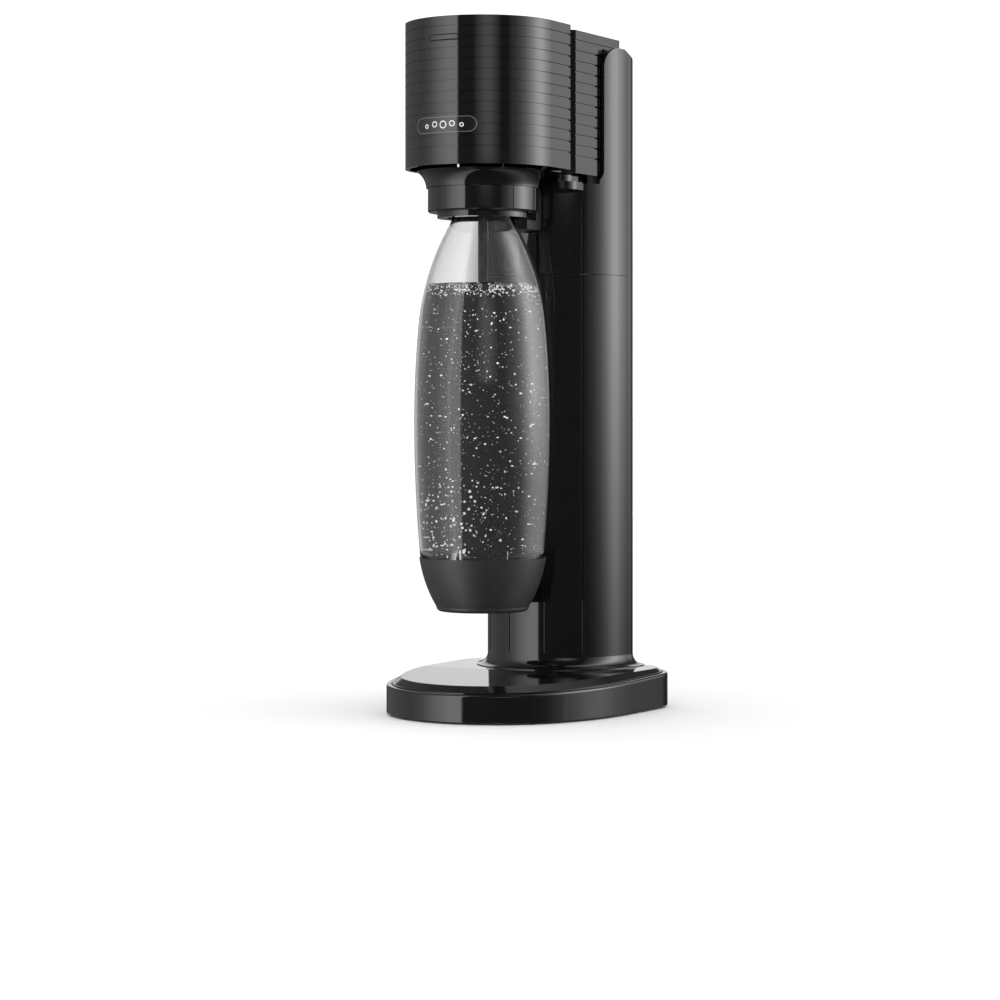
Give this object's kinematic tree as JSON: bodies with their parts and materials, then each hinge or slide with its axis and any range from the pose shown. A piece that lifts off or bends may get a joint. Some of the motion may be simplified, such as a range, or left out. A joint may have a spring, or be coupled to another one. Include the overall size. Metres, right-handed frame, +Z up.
{
  "type": "soda carbonator",
  "caption": "Counter-top soda carbonator: low rounded base, round column, ribbed pressing head, tilting bottle holder with clear bottle, and a rear cover over the gas cylinder.",
  "frame": {"origin": "on the table, under the middle of the base", "axes": "+Z up; front (bottle side) towards -Y; +X to the viewer's right when facing the front"},
  "size_m": [0.159, 0.183, 0.439],
  "materials": {
    "black_gloss": "polished",
    "black_matte": "satin",
    "badge_print": "polished",
    "grey_plastic": "satin",
    "rubber": "matte",
    "steel": "satin",
    "brass": "satin",
    "cylinder_shell": "satin",
    "clear_plastic": "clear"
  },
  "bodies": {
    "stand": {"base_skirt": "black_gloss", "base_floor": "black_matte", "rubber_feet": "rubber", "drip_plate": "black_gloss", "base_screws": "steel", "column_lower_shell": "black_gloss", "column_upper_shell": "black_gloss", "column_screws": "steel", "rear_lower_panel": "black_gloss", "head_rear_shell": "black_gloss", "head_sill": "black_gloss", "head_frame": "grey_plastic", "frame_screws": "steel", "guide_rods": "steel", "return_springs": "steel", "lever_pin": "steel", "valve_block": "grey_plastic", "inlet_seal": "rubber", "relief_valve": "brass", "gas_hose": "rubber", "hose_ferrules": "steel", "hose_elbow": "grey_plastic", "holder_pin": "steel", "cylinder_seat": "black_matte", "holder_catch": "black_matte"},
    "block": {"carbonating_block": "black_gloss", "press_mark": "black_matte", "badge": "badge_print"},
    "press_lever": {"press_lever": "grey_plastic"},
    "valve_pin": {"valve_pin": "steel"},
    "holder": {"holder_collar": "black_gloss", "holder_ring": "black_gloss", "holder_jaw": "black_matte", "nozzle_tube": "grey_plastic", "nozzle_tip": "grey_plastic", "bottle_seal": "rubber"},
    "bottle": {"bottle_body": "clear_plastic", "bottle_base_cup": "black_matte"},
    "rear_cover": {"rear_cover": "black_gloss"},
    "cover_button": {"cover_button": "black_matte"},
    "lock_lever": {"lock_lever": "black_matte"},
    "cylinder": {"gas_cylinder": "cylinder_shell", "cylinder_valve": "brass"}
  },
  "joints": [
    {"name": "block_press", "type": "slide", "parent": "stand", "child": "block", "axis": [0, 0, -1], "range_m": [0, 0.008], "stiffness_N_per_m": 1500, "springref_m": -0.01, "deforming": ["return_springs"]},
    {"name": "press_lever_turn", "type": "hinge", "parent": "stand", "child": "press_lever", "pos_m": [0, 0.0665, 0.415], "axis": [1, 0, 0], "range_deg": [0, 5]},
    {"name": "valve_pin_slide", "type": "slide", "parent": "stand", "child": "valve_pin", "axis": [0, 0, -1], "range_m": [0, 0.0011]},
    {"name": "holder_tilt", "type": "hinge", "parent": "stand", "child": "holder", "pos_m": [0, -0.0395, 0.36], "axis": [-1, 0, 0], "range_deg": [0, 15]},
    {"name": "bottle_release", "type": "slide", "parent": "holder", "child": "bottle", "axis": [0, 0, -1], "range_m": [0, 0.03]},
    {"name": "rear_cover_tilt", "type": "hinge", "parent": "stand", "child": "rear_cover", "pos_m": [0, 0.0875, 0.125], "axis": [-1, 0, 0], "range_deg": [0, 35]},
    {"name": "cover_button_push", "type": "slide", "parent": "rear_cover", "child": "cover_button", "axis": [0, -1, 0], "range_m": [0, 0.0025], "stiffness_N_per_m": 400, "springref_m": -0.003},
    {"name": "lock_lever_turn", "type": "hinge", "parent": "stand", "child": "lock_lever", "pos_m": [0, 0.0535, 0.384], "axis": [1, 0, 0], "range_deg": [0, 75.5]},
    {"name": "cylinder_drop", "type": "slide", "parent": "stand", "child": "cylinder", "axis": [0, 0, -1], "range_m": [0, 0.0061]}
  ],
  "couplings": [
    {"joint": "press_lever_turn", "follows": "block_press", "rad_per_m": 10.417},
    {"joint": "valve_pin_slide", "follows": "block_press", "ratio": 0.1354},
    {"joint": "lock_lever_turn", "follows": "rear_cover_tilt", "ratio": 2.1429},
    {"joint": "cylinder_drop", "follows": "rear_cover_tilt", "m_per_rad": 0.009822}
  ]
}
